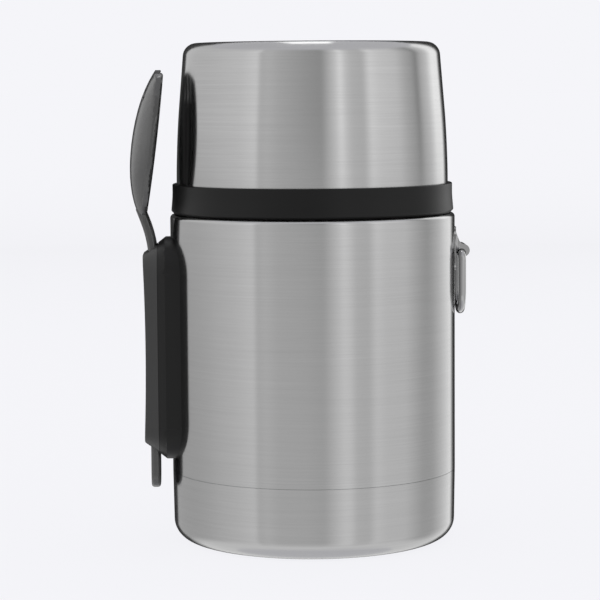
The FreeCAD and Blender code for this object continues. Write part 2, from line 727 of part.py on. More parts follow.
def weld_bosses():
    """Two threaded bosses welded to the jar's wall, which carry the holder."""
    back = behind_wall(BOSS_DIAMETER / 2)
    bosses = []
    for height in SCREW_HEIGHTS:
        boss = bar_x(BOSS_DIAMETER / 2, back, BOSS_X, 0, height).cut(jar_cylinder())
        bosses.append(boss.cut(bar_x(SCREW_DIAMETER / 2 + SCREW_CLEARANCE, back, BOSS_X, 0, height)))
    return bosses


def holder_screws():
    """Two countersunk screws, sunk below the channel's floor."""
    floor = CHANNEL_NEAR - SCREW_SINK
    screws = []
    for height in SCREW_HEIGHTS:
        head = Part.makeCone(
            SCREW_DIAMETER / 2,
            SCREW_HEAD_DIAMETER / 2,
            SCREW_HEAD_DEPTH,
            point(floor - SCREW_HEAD_DEPTH, 0, height),
            AXIS_X,
        )
        shank = bar_x(SCREW_DIAMETER / 2, BODY_RADIUS + SCREW_SINK, floor - SCREW_HEAD_DEPTH, 0, height)
        screws.append(head.fuse(shank).removeSplitter())
    return screws


def curve_through(points, where):
    """Value at one place of the polynomial through the given (place, value) points."""
    total = 0.0
    for i, (place, value) in enumerate(points):
        term = value
        for j, (other, _) in enumerate(points):
            if i != j:
                term *= (where - other) / (place - other)
        total += term
    return total


def bowl_half_width(rise):
    """Half the spork bowl's width at a rise above its base: an egg shape."""
    return BOWL_HALF_WIDTH * math.sqrt(math.sin(math.pi * rise / (BOWL_LENGTH + BOWL_EGG_OVERRUN)))


def bowl_section(rise, inset, near, far):
    """Closed level section of the bowl: a keel arc on a straight band that starts and ends at the rim.

    The band runs from near to far, both measured outwards from the rim.
    """
    z = BOWL_BASE + rise
    rim = HANDLE_OUT + curve_through(RIM_POINTS, rise)
    keel = HANDLE_OUT + curve_through(KEEL_POINTS, rise) - inset
    half = bowl_half_width(rise) - inset
    corners = [
        point(rim + far, half, z),
        point(rim + near, half, z),
        point(rim + near, -half, z),
        point(rim + far, -half, z),
    ]
    edges = [Part.Arc(corners[3], point(keel, 0, z), corners[0]).toShape()]
    for start, end in zip(corners, corners[1:]):
        edges.append(Part.LineSegment(start, end).toShape())
    return Part.Wire(edges)


def bowl_hollow():
    """Space inside the spork's bowl, open towards the jar."""
    stations = [rise for rise in bowl_stations() if rise > 2 * BOWL_WALL]
    sections = [bowl_section(rise, BOWL_WALL, -HANDLE_STANDOFF, 0) for rise in stations]
    return Part.makeLoft(sections, True, False)


def bowl_stations():
    """Rises of the bowl's level sections above its base."""
    return [share * BOWL_LENGTH for share in BOWL_SHARES]


def spork_bowl():
    """Bowl of the spork with its tines: an egg-shaped dish cut off by a round tip and three gaps."""
    outside = Part.makeLoft([bowl_section(rise, 0, 0, RIM_BAND) for rise in bowl_stations()], True, False)
    depth = 2 * BOWL_HALF_WIDTH
    tip_z = BOWL_BASE + BOWL_LENGTH - BOWL_TIP_RADIUS
    tip = Part.makeCylinder(BOWL_TIP_RADIUS, depth, point(TRIM_X, 0, tip_z), AXIS_X)
    below = Part.makeBox(depth, 2 * depth, BOWL_LENGTH, point(TRIM_X, -depth, tip_z - BOWL_LENGTH))
    bowl = outside.cut(bowl_hollow()).common(tip.fuse(below))
    half_gap = TINE_GAP_WIDTH / 2
    root_z = BOWL_BASE + BOWL_LENGTH - TINE_DEPTH + half_gap
    for i in range(TINE_GAPS):
        y = (i - (TINE_GAPS - 1) / 2) * TINE_PITCH
        root = bar_x(half_gap, TRIM_X, TRIM_X + depth, y, root_z)
        slot = Part.makeBox(depth, TINE_GAP_WIDTH, 2 * TINE_DEPTH, point(TRIM_X, y - half_gap, root_z))
        bowl = bowl.cut(root.fuse(slot))
    return bowl


def spork_stem():
    """Handle and neck: a straight blade that leans out above the holder."""
    lean = math.radians(NECK_LEAN)
    half = HANDLE_THICKNESS / 2
    centre_x = HANDLE_OUT + NECK_BEND
    bend_end_z = NECK_START + NECK_BEND * math.sin(lean)
    bend_end_x = centre_x - NECK_BEND * math.cos(lean)
    run = (BOWL_BASE + NECK_OVERLAP - bend_end_z) / math.cos(lean)
    end_x = bend_end_x + run * math.sin(lean)
    end_z = bend_end_z + run * math.cos(lean)

    def offset_side(shift):
        radius = NECK_BEND - shift
        mid = lean / 2
        start = point(HANDLE_OUT + shift, 0, NECK_START)
        middle = point(centre_x - radius * math.cos(mid), 0, NECK_START + radius * math.sin(mid))
        end = point(centre_x - radius * math.cos(lean), 0, NECK_START + radius * math.sin(lean))
        last = point(end_x + shift * math.cos(lean), 0, end_z - shift * math.sin(lean))
        return start, middle, end, last

    near = offset_side(-half)
    far = offset_side(half)
    low_near = point(HANDLE_NEAR, 0, HANDLE_BOTTOM)
    low_far = point(HANDLE_FAR, 0, HANDLE_BOTTOM)
    edges = [
        Part.LineSegment(low_near, near[0]),
        Part.Arc(near[0], near[1], near[2]),
        Part.LineSegment(near[2], near[3]),
        Part.LineSegment(near[3], far[3]),
        Part.LineSegment(far[3], far[2]),
        Part.Arc(far[2], far[1], far[0]),
        Part.LineSegment(far[0], low_far),
        Part.LineSegment(low_far, low_near),
    ]
    side = Part.Face(Part.Wire([edge.toShape() for edge in edges]))
    side.translate(point(0, -HANDLE_WIDTH, 0))
    blade = side.extrude(point(0, 2 * HANDLE_WIDTH, 0))
    wide = HANDLE_WIDTH / 2
    slim = NECK_WIDTH / 2
    root = NECK_ROOT_WIDTH / 2
    front = front_outline([
        (-wide, HANDLE_BOTTOM, HANDLE_END_ROUND),
        (wide, HANDLE_BOTTOM, HANDLE_END_ROUND),
        (wide, NECK_START - NECK_TAPER / 2, NECK_ROUND),
        (slim, NECK_START + NECK_TAPER, NECK_ROUND),
        (root, BOWL_BASE + 2 * NECK_OVERLAP, 0),
        (-root, BOWL_BASE + 2 * NECK_OVERLAP, 0),
        (-slim, NECK_START + NECK_TAPER, NECK_ROUND),
        (-wide, NECK_START - NECK_TAPER / 2, NECK_ROUND),
    ])
    stem = blade.common(front)
    rounded = [edge for edge in stem.Edges if is_long_stem_edge(edge, end_z)]
    return stem.makeFillet(HANDLE_ROUND, rounded)


def front_outline(corners):
    """Solid along X of a (y, z, radius) outline, deep enough to trim the spork."""
    face = Part.Face(rounded_wire(corners))
    face.rotate(ORIGIN, AXIS_Z, 90)
    face.translate(point(TRIM_X, 0, 0))
    return face.extrude(point(2 * BOWL_HALF_WIDTH, 0, 0))


def is_long_stem_edge(edge, end_z):
    """True for the edges that run round the stem's broad faces, but not at its hidden top end."""
    box = edge.BoundBox
    half = HANDLE_THICKNESS / 2
    across_blade = box.YLength < TINY and box.ZLength < half
    return not across_blade and box.ZMax < end_z + half and box.ZMin < end_z - half


def spork():
    """The whole spork as one moulding."""
    return spork_bowl().fuse(spork_stem().cut(bowl_hollow())).removeSplitter()


def save(name, shapes):
    """Writes one sub-part, after checking that each of its solids is sound."""
    solids = [solid for shape in shapes for solid in shape.Solids]
    for solid in solids:
        if not solid.isValid():
            raise ValueError(name + " has an unsound solid")
    whole = solids[0] if len(solids) == 1 else Part.makeCompound(solids)
    whole.exportStep(os.path.join("parts", name + ".step"))
    print(name, len(solids), "solid(s)", round(sum(solid.Volume for solid in solids), 1), "mm3")


def main():
    """Builds every sub-part and writes it to parts."""
    os.makedirs("parts", exist_ok=True)
    save("outer_shell", [outer_shell()])
    save("base_cup", [base_cup()])
    save("vacuum_bottom", [vacuum_bottom()])
    save("vacuum_seal", [vacuum_seal()])
    save("getter", [getter()])
    save("inner_liner", [inner_liner()])
    save("stopper_body", [stopper_body()])
    save("stopper_foam", [stopper_foam()])
    save("stopper_cap", [stopper_cap()])
    save("stopper_seal", [stopper_seal()])
    save("lid_shell", [lid_shell()])
    save("lid_bowl", [lid_bowl()])
    save("lid_collar", [lid_collar()])
    save("lid_seal", [lid_seal()])
    save("ring_bracket", [ring_bracket()])
    save("carry_ring", [carry_ring()])
    save("weld_bosses", [half_turn(boss) for boss in weld_bosses()])
    save("holder_screws", [half_turn(screw) for screw in holder_screws()])
    save("holder_base", [half_turn(holder_base())])
    save("holder_cover", [half_turn(holder_cover())])
    save("spork", [half_turn(spork())])


main()
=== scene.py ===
"""Insulated food jar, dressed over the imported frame: steel body, stopper, bowl lid, spork and ring."""

import json
import logging
import math
from dataclasses import dataclass
from enum import Enum

import bmesh
import bpy
from mathutils import Matrix, Vector

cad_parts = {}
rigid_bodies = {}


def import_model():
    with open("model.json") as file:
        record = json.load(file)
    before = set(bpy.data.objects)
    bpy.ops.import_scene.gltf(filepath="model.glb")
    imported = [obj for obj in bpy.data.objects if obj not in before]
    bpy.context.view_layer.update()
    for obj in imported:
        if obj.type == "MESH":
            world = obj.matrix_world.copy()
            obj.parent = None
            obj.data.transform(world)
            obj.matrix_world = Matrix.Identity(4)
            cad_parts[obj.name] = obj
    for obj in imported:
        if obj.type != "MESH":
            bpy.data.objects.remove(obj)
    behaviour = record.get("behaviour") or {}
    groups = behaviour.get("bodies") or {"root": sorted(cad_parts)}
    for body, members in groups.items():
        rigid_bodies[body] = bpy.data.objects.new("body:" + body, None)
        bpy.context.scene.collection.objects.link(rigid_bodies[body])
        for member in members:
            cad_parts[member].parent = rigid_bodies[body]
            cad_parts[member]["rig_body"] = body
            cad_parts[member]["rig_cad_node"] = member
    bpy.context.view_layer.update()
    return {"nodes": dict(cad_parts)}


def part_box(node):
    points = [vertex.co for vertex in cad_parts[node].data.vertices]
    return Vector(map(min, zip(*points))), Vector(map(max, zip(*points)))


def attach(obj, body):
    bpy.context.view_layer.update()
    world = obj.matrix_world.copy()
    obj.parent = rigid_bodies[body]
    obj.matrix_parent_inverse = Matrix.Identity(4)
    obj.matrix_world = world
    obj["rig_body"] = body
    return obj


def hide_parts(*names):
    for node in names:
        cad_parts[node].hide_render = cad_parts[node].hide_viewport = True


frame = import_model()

LOG = logging.getLogger("food_jar")
NEAR = 2e-5
MERGE_DISTANCE = 1e-6
THREAD_PITCH = 0.0042
THREAD_WIDTH = 0.0018
THREAD_STEPS = 96


class Body(Enum):
    """Bodies of the frame that the pieces ride on."""

    JAR = "jar"
    LID = "lid"
    LID_GASKET = "lid_gasket"
    STOPPER = "stopper"
    STOPPER_GASKET = "stopper_gasket"
    SPORK = "spork"
    RING = "ring"


class Slot(Enum):
    """Material slots of the record, by name."""

    BRUSHED_STEEL = "brushed_steel"
    INNER_STEEL = "inner_steel"
    SEAL_BEAD = "seal_bead"
    GETTER_ALLOY = "getter_alloy"
    BRIGHT_STEEL = "bright_steel"
    BLACK_PLASTIC = "black_plastic"
    SPORK_PLASTIC = "spork_plastic"
    STOPPER_PLASTIC = "stopper_plastic"
    SILICONE = "silicone"
    FOAM = "foam"
    SCREW_STEEL = "screw_steel"


# Workbench: the modelling moves that the pieces share


def deselect_all() -> None:
    """Leaves object mode with nothing selected."""
    if bpy.context.object and bpy.context.object.mode != "OBJECT":
        bpy.ops.object.mode_set(mode="OBJECT")
    bpy.ops.object.select_all(action="DESELECT")


def make_active(piece: bpy.types.Object) -> None:
    """Selects one piece alone and makes it the active one.

    Args:
        piece: Piece to select.
    """
    deselect_all()
    piece.select_set(True)
    bpy.context.view_layer.objects.active = piece


def apply_modifier(piece: bpy.types.Object, kind: str, **settings: object) -> None:
    """Adds a modifier to a piece and applies it.

    Args:
        piece: Piece to change.
        kind: Modifier type, as in Blender's list.
        **settings: Values of the modifier's properties.
    """
    make_active(piece)
    modifier = piece.modifiers.new(kind.title(), kind)
    for key, value in settings.items():
        setattr(modifier, key, value)
    bpy.ops.object.modifier_apply(modifier=modifier.name)


def smooth(piece: bpy.types.Object, degrees: float = 32.0) -> None:
    """Shades a piece smooth up to an angle, with flat faces kept flat by their area.

    Args:
        piece: Piece to shade.
        degrees: Largest angle between faces that is shaded smooth.
    """
    make_active(piece)
    bpy.ops.object.shade_smooth_by_angle(angle=math.radians(degrees))
    apply_modifier(piece, "WEIGHTED_NORMAL", keep_sharp=True)


def select_ring(radius: float, height: float) -> int:
    """Selects the edges of one ring of the turned piece in edit mode.

    Args:
        radius: Radius of the ring about the jar's axis.
        height: Height of the ring.

    Returns:
        Number of edges selected.
    """
    bpy.ops.mesh.select_mode(type="EDGE")
    bpy.ops.mesh.select_all(action="DESELECT")
    mesh = bpy.context.object.data
    net = bmesh.from_edit_mesh(mesh)
    found = 0
    for edge in net.edges:
        on_ring = all(
            abs(math.hypot(vert.co.x, vert.co.y) - radius) < NEAR and abs(vert.co.z - height) < NEAR
            for vert in edge.verts
        )
        if on_ring:
            edge.select_set(True)
            found += 1
    bmesh.update_edit_mesh(mesh)
    return found


@dataclass(frozen=True)
class Station:
    """One corner of a turned profile; a corner with a round is bevelled into an arc of that radius."""

    radius: float
    height: float
    round: float = 0.0
    steps: int = 6


def corner_reach(before: Station, here: Station, after: Station) -> float:
    """Distance from a corner to where its arc begins.

    Args:
        before: Corner before it.
        here: The corner, with its round.
        after: Corner after it.

    Returns:
        The distance.
    """
    back = Vector((before.radius - here.radius, before.height - here.height)).normalized()
    ahead = Vector((after.radius - here.radius, after.height - here.height)).normalized()
    return here.round / math.tan(back.angle(ahead) / 2)


def turn(name: str, stations: list[Station], segments: int = 192) -> bpy.types.Object:
    """Turns a closed profile about the jar's axis, as on a lathe.

    A circle is extruded from corner to corner. A profile that begins and ends on the axis is closed
    there by poles, and any other is closed onto its first ring. Corners are bevelled last.

    Args:
        name: Name of the piece.
        stations: Corners in order round the profile; radius 0 stands for the axis.
        segments: Faces round the axis.

    Returns:
        The piece, in object mode.
    """
    rings = [station for station in stations if station.radius > 0]
    on_axis = len(rings) < len(stations)
    deselect_all()
    bpy.ops.mesh.primitive_circle_add(vertices=segments, radius=rings[0].radius, fill_type="NOTHING")
    piece = bpy.context.object
    piece.name = piece.data.name = name
    bpy.ops.object.mode_set(mode="EDIT")
    bpy.ops.mesh.select_all(action="SELECT")
    bpy.ops.transform.translate(value=(0, 0, rings[0].height))
    path = rings if on_axis else rings + rings[:1]
    for before, here in zip(path, path[1:]):
        bpy.ops.mesh.extrude_region_move(
            TRANSFORM_OT_translate={"value": (0, 0, here.height - before.height)}
        )
        share = here.radius / before.radius
        bpy.ops.transform.resize(value=(share, share, 1), center_override=(0, 0, here.height))
    if on_axis:
        for end in (rings[-1], rings[0]):
            select_ring(end.radius, end.height)
            bpy.ops.mesh.extrude_region_move()
            bpy.ops.mesh.merge(type="CENTER")
    bpy.ops.mesh.select_all(action="SELECT")
    bpy.ops.mesh.remove_doubles(threshold=MERGE_DISTANCE)
    count = len(stations)
    for i, station in enumerate(stations):
        if station.round > 0:
            reach = corner_reach(stations[i - 1], station, stations[(i + 1) % count])
            select_ring(station.radius, station.height)
            bpy.ops.mesh.bevel(
                offset_type="OFFSET", offset=reach, segments=station.steps, profile=0.5, affect="EDGES"
            )
    bpy.ops.mesh.select_all(action="SELECT")
    bpy.ops.mesh.normals_make_consistent(inside=False)
    bpy.ops.object.mode_set(mode="OBJECT")
    return piece


def thread(name: str, radius: float, bottom: float, rise: float, turns: float,
           width: float = THREAD_WIDTH) -> bpy.types.Object:
    """Screw ridge on a round wall.

    Args:
        name: Name of the piece.
        radius: Radius of the wall.
        bottom: Height of the ridge's lower end.
        rise: How far the ridge stands off the wall; a negative rise points to the axis.
        turns: Number of turns.
        width: Width of the ridge where it leaves the wall.

    Returns:
        The ridge.
    """
    deselect_all()
    bpy.ops.mesh.primitive_plane_add(size=1)
    piece = bpy.context.object
    piece.name = piece.data.name = name
    bpy.ops.object.mode_set(mode="EDIT")
    bpy.ops.mesh.select_all(action="SELECT")
    bpy.ops.transform.rotate(value=math.pi / 2, orient_axis="X", center_override=(0, 0, 0))
    sink = rise / 2
    bpy.ops.transform.resize(value=(rise + sink, 1, width), center_override=(0, 0, 0))
    bpy.ops.transform.translate(value=(radius + (rise - sink) / 2, 0, bottom))
    bpy.ops.mesh.select_mode(type="VERT")
    bpy.ops.mesh.select_all(action="DESELECT")
    net = bmesh.from_edit_mesh(piece.data)
    for vert in net.verts:
        vert.select_set(vert.co.x > radius)
    bmesh.update_edit_mesh(piece.data)
    bpy.ops.transform.resize(value=(1, 1, 0.4), center_override=(radius, 0, bottom))
    bpy.ops.mesh.select_mode(type="EDGE")
    bpy.ops.mesh.select_all(action="SELECT")
    bpy.ops.mesh.delete(type="ONLY_FACE")
    bpy.ops.object.mode_set(mode="OBJECT")
    steps = int(THREAD_STEPS * turns)
    apply_modifier(
        piece, "SCREW", axis="Z", angle=math.tau * turns, screw_offset=THREAD_PITCH * turns,
        steps=steps, render_steps=steps, use_merge_vertices=False,
    )
    make_active(piece)
    bpy.ops.object.mode_set(mode="EDIT")
    bpy.ops.mesh.select_all(action="SELECT")
    bpy.ops.mesh.fill_holes(sides=4)
    bpy.ops.mesh.normals_make_consistent(inside=False)
    bpy.ops.object.mode_set(mode="OBJECT")
    smooth(piece, 40)
    return piece


def merged_copy(node: str, name: str, degrees: float = 28.0) -> bpy.types.Object:
    """Copies a node's solid, joins its loose faces and shades it smooth.

    Args:
        node: Node of the frame to copy.
        name: Name of the new piece, which stands for the node.
        degrees: Largest angle that is shaded smooth.

    Returns:
        The new piece.
    """
    source = frame["nodes"][node]
    make_active(source)
    bpy.ops.object.duplicate()
    piece = bpy.context.object
    piece.name = piece.data.name = name
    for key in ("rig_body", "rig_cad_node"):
        if key in piece:
            del piece[key]
    bpy.ops.object.mode_set(mode="EDIT")
    bpy.ops.mesh.select_all(action="SELECT")
    bpy.ops.mesh.remove_doubles(threshold=MERGE_DISTANCE)
    bpy.ops.object.mode_set(mode="OBJECT")
    smooth(piece, degrees)
    return piece


def settle(piece: bpy.types.Object, body: Body, slot: Slot, finish: bpy.types.Material,
           *nodes: str) -> bpy.types.Object:
    """Gives a piece its finish and its body, and hides the nodes that it stands for.

    Args:
        piece: Piece to settle.
        body: Body that it moves with.
        slot: Not used.
        finish: Its material.
        *nodes: Nodes of the frame that it replaces.

    Returns:
        The piece.
    """
    piece.data.materials.clear()
    piece.data.materials.append(finish)
    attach(piece, body.value)
    if nodes:
        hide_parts(*nodes)
    LOG.info("%s rides on %s, %d faces", piece.name, body.value, len(piece.data.polygons))
    return piece


def dress_node(node: str, finish: bpy.types.Material) -> None:
    """Gives a node of the frame that stays as it is a finish of its own.

    Args:
        node: Node to dress.
        finish: Its material.
    """
    mesh = frame["nodes"][node].data
    mesh.materials.clear()
    mesh.materials.append(finish)
    LOG.info("%s keeps its solid", node)


# Finishes


HAIR_SHARE = 0.7
BROAD_FINENESS = 0.16
GLOSS_SHARE = -0.6
HANDLING_SCALE = 42.0


class GroupSockets:
    """A shader node group under construction, with its named inputs and outputs."""

    def __init__(self, name: str, inputs: dict[str, float], outputs: tuple[str, ...]) -> None:
        """Makes the group with number sockets.

        Args:
            name: Name of the group.
            inputs: Input names with their usual values.
            outputs: Output names.
        """
        self.tree = bpy.data.node_groups.new(name, "ShaderNodeTree")
        for key, value in inputs.items():
            socket = self.tree.interface.new_socket(key, in_out="INPUT", socket_type="NodeSocketFloat")
            socket.default_value = value
        for key in outputs:
            self.tree.interface.new_socket(key, in_out="OUTPUT", socket_type="NodeSocketFloat")
        self.source = self.tree.nodes.new("NodeGroupInput")
        self.sink = self.tree.nodes.new("NodeGroupOutput")

    def math(self, operation: str, first: object, second: object = 0.0) -> bpy.types.NodeSocket:
        """Adds a Math node.

        Args:
            operation: What the node does, as in Blender's list.
            first: First operand, a number or a socket.
            second: Second operand, a number or a socket.

        Returns:
            Socket with the result.
        """
        node = self.tree.nodes.new("ShaderNodeMath")
        node.operation = operation
        for place, operand in enumerate((first, second)):
            if isinstance(operand, (int, float)):
                node.inputs[place].default_value = operand
            else:
                self.tree.links.new(operand, node.inputs[place])
        return node.outputs[0]

    def link(self, start: bpy.types.NodeSocket, end: bpy.types.NodeSocket) -> None:
        """Joins two sockets."""
        self.tree.links.new(start, end)

    def noise(self, place: bpy.types.NodeSocket, scale: object, detail: float,
              rough: float = 0.5) -> bpy.types.NodeSocket:
        """Adds a noise texture.

        Args:
            place: Socket with the place that it is read at.
            scale: Its scale, a number or a socket.
            detail: Number of finer layers.
            rough: Strength of each finer layer.

        Returns:
            Socket with its value, from 0 to 1.
        """
        node = self.tree.nodes.new("ShaderNodeTexNoise")
        node.inputs["Detail"].default_value = detail
        node.inputs["Roughness"].default_value = rough
        self.link(place, node.inputs["Vector"])
        if isinstance(scale, (int, float)):
            node.inputs["Scale"].default_value = scale
        else:
            self.link(scale, node.inputs["Scale"])
        return node.outputs["Fac"]

    def place(self) -> bpy.types.NodeSocket:
        """Adds the object coordinates."""
        return self.tree.nodes.new("ShaderNodeTexCoord").outputs["Object"]


def turned_grain_group() -> bpy.types.NodeTree:
    """Brushing that runs round the jar's axis on walls and in rings on flat ends.

    Returns:
        The group, with the outputs Tone, Gloss and Height.
    """
    group = GroupSockets(
        "turned_grain", {"Fineness": 9000.0, "Length": 22.0, "Contrast": 0.16}, ("Tone", "Gloss", "Height")
    )
    split = group.tree.nodes.new("ShaderNodeSeparateXYZ")
    group.link(group.place(), split.inputs[0])
    squares = [group.math("POWER", split.outputs[axis], 2) for axis in (0, 1)]
    reach = group.math("SQRT", group.math("ADD", *squares))
    across = group.math("ADD", split.outputs[2], reach)
    length = group.source.outputs["Length"]
    fine = group.tree.nodes.new("ShaderNodeCombineXYZ")
    group.link(group.math("MULTIPLY", split.outputs[0], length), fine.inputs[0])
    group.link(group.math("MULTIPLY", split.outputs[1], length), fine.inputs[1])
    group.link(group.math("MULTIPLY", across, group.source.outputs["Fineness"]), fine.inputs[2])
    hair = group.noise(fine.outputs[0], 1.0, 3.0, 0.65)
    broad = group.tree.nodes.new("ShaderNodeCombineXYZ")
    group.link(group.math("MULTIPLY", split.outputs[0], length), broad.inputs[0])
    group.link(group.math("MULTIPLY", split.outputs[1], length), broad.inputs[1])
    coarse = group.math("MULTIPLY", group.source.outputs["Fineness"], BROAD_FINENESS)
    group.link(group.math("MULTIPLY", across, coarse), broad.inputs[2])
    band = group.noise(broad.outputs[0], 1.0, 2.0)
    mixed = group.math(
        "ADD", group.math("MULTIPLY", hair, HAIR_SHARE), group.math("MULTIPLY", band, 1 - HAIR_SHARE)
    )
    swing = group.math("MULTIPLY", group.math("SUBTRACT", mixed, 0.5), group.source.outputs["Contrast"])
    group.link(group.math("ADD", swing, 1.0), group.sink.inputs["Tone"])
    group.link(group.math("MULTIPLY", swing, GLOSS_SHARE), group.sink.inputs["Gloss"])
    group.link(mixed, group.sink.inputs["Height"])
    return group.tree


def moulded_grain_group() -> bpy.types.NodeTree:
    """Fine erosion grain of moulded plastic, with slow changes of gloss from handling.

    Returns:
        The group, with the outputs Tone, Gloss and Height.
    """
    group = GroupSockets("moulded_grain", {"Fineness": 5200.0, "Handling": 0.1}, ("Tone", "Gloss", "Height"))
    place = group.place()
    grain = group.noise(place, group.source.outputs["Fineness"], 2.0)
    slow = group.noise(place, HANDLING_SCALE, 3.0, 0.55)
    touch = group.math("MULTIPLY", group.math("SUBTRACT", slow, 0.5), group.source.outputs["Handling"])
    group.link(group.math("ADD", touch, 1.0), group.sink.inputs["Tone"])
    group.link(touch, group.sink.inputs["Gloss"])
    group.link(grain, group.sink.inputs["Height"])
    return group.tree


class Grain(Enum):
    """Surface patterns that a finish can carry."""

    TURNED = "turned_grain"
    MOULDED = "moulded_grain"


def grain_tree(grain: Grain) -> bpy.types.NodeTree:
    """Returns the node group of a grain, made when it is first asked for."""
    makers = {Grain.TURNED: turned_grain_group, Grain.MOULDED: moulded_grain_group}
    return bpy.data.node_groups.get(grain.value) or makers[grain]()


@dataclass(frozen=True)
class Finish:
    """One finish: its colour, its gloss and the grain that breaks them up."""

    name: str
    colour: tuple[float, float, float]
    roughness: float
    metallic: float = 0.0
    grain: Grain = Grain.MOULDED
    grain_values: tuple[tuple[str, float], ...] = ()
    bump: float = 0.1
    bump_depth: float = 0.00002
    specular: float = 0.5
    anisotropic: float = 0.0
    coat: float = 0.0

    def material(self) -> bpy.types.Material:
        """Makes the material when it is first asked for.

        Returns:
            The material.
        """
        known = bpy.data.materials.get(self.name)
        if known:
            return known
        made = bpy.data.materials.new(self.name)
        made.use_nodes = True
        nodes, links = made.node_tree.nodes, made.node_tree.links
        shader = nodes["Principled BSDF"]
        shader.inputs["Metallic"].default_value = self.metallic
        shader.inputs["Specular IOR Level"].default_value = self.specular
        shader.inputs["Anisotropic"].default_value = self.anisotropic
        shader.inputs["Coat Weight"].default_value = self.coat
        group = nodes.new("ShaderNodeGroup")
        group.node_tree = grain_tree(self.grain)
        for key, value in self.grain_values:
            group.inputs[key].default_value = value
        tone = nodes.new("ShaderNodeMix")
        tone.data_type = "RGBA"
        tone.blend_type = "MULTIPLY"
        tone.inputs["Factor"].default_value = 1.0
        tone.inputs["A"].default_value = (*self.colour, 1.0)
        links.new(group.outputs["Tone"], tone.inputs["B"])
        links.new(tone.outputs["Result"], shader.inputs["Base Color"])
        gloss = nodes.new("ShaderNodeMath")
        gloss.operation = "ADD"
        gloss.inputs[0].default_value = self.roughness
        links.new(group.outputs["Gloss"], gloss.inputs[1])
        links.new(gloss.outputs[0], shader.inputs["Roughness"])
        bump = nodes.new("ShaderNodeBump")
        bump.inputs["Strength"].default_value = self.bump
        bump.inputs["Distance"].default_value = self.bump_depth
        links.new(group.outputs["Height"], bump.inputs["Height"])
        links.new(bump.outputs["Normal"], shader.inputs["Normal"])
        if self.anisotropic:
            tangent = nodes.new("ShaderNodeTangent")
            tangent.direction_type = "RADIAL"
            tangent.axis = "Z"
            links.new(tangent.outputs[0], shader.inputs["Tangent"])
            shader.inputs["Anisotropic Rotation"].default_value = 0.25
        return made


BRUSHED_STEEL = Finish(
    "steel_brushed", (0.42, 0.42, 0.42), 0.18, metallic=1.0, grain=Grain.TURNED,
    grain_values=(("Contrast", 0.22), ("Fineness", 2300.0)), bump=0.04, anisotropic=0.88,
)
INNER_STEEL = Finish(
    "steel_satin", (0.58, 0.58, 0.585), 0.26, metallic=1.0, grain=Grain.TURNED,
    grain_values=(("Contrast", 0.2), ("Fineness", 1500.0)), bump=0.04, anisotropic=0.5,
)
BRIGHT_STEEL = Finish(
    "steel_polished", (0.32, 0.32, 0.323), 0.06, metallic=1.0, grain_values=(("Handling", 0.06),), bump=0.02,
    coat=1.0,
)
SCREW_STEEL = Finish("steel_screw", (0.55, 0.55, 0.56), 0.3, metallic=1.0, bump=0.05)
SEAL_BEAD = Finish("bead_metal", (0.5, 0.5, 0.52), 0.4, metallic=1.0, bump=0.3)
GETTER_ALLOY = Finish("alloy_sintered", (0.3, 0.3, 0.32), 0.55, metallic=0.8, bump=0.2)
COLLAR_BLACK = Finish(
    "collar_black", (0.006, 0.006, 0.006), 0.38, bump=0.25, specular=0.18, grain_values=(("Handling", 0.08),),
)
HOLDER_BLACK = Finish(
    "holder_black", (0.006, 0.006, 0.006), 0.42, bump=0.3, specular=0.22, grain_values=(("Handling", 0.08),),
)
# Same black plastic as the holder's back, given a lighter base colour and more specular: painted light
# standing for the light that the cover's chamfered face catches from the left.
COVER_BLACK_PAINTED_LIT = Finish(
    "cover_black_painted_lit", (0.016, 0.016, 0.016), 0.42, bump=0.3, specular=0.35, grain_values=(("Handling", 0.08),),
)
SPORK_GREY = Finish(
    "spork_grey", (0.048, 0.048, 0.048), 0.18, bump=0.06, specular=0.75, grain_values=(("Handling", 0.1),),
)
STOPPER_BLACK = Finish("stopper_black", (0.03, 0.03, 0.031), 0.48, bump=0.3)
SILICONE = Finish("rubber_clear_grey", (0.42, 0.42, 0.43), 0.55, bump=0.15, specular=0.35)
FOAM = Finish("foam_white", (0.78, 0.78, 0.75), 0.85, bump=0.6, grain_values=(("Fineness", 1500.0),))


# The jar's own pieces


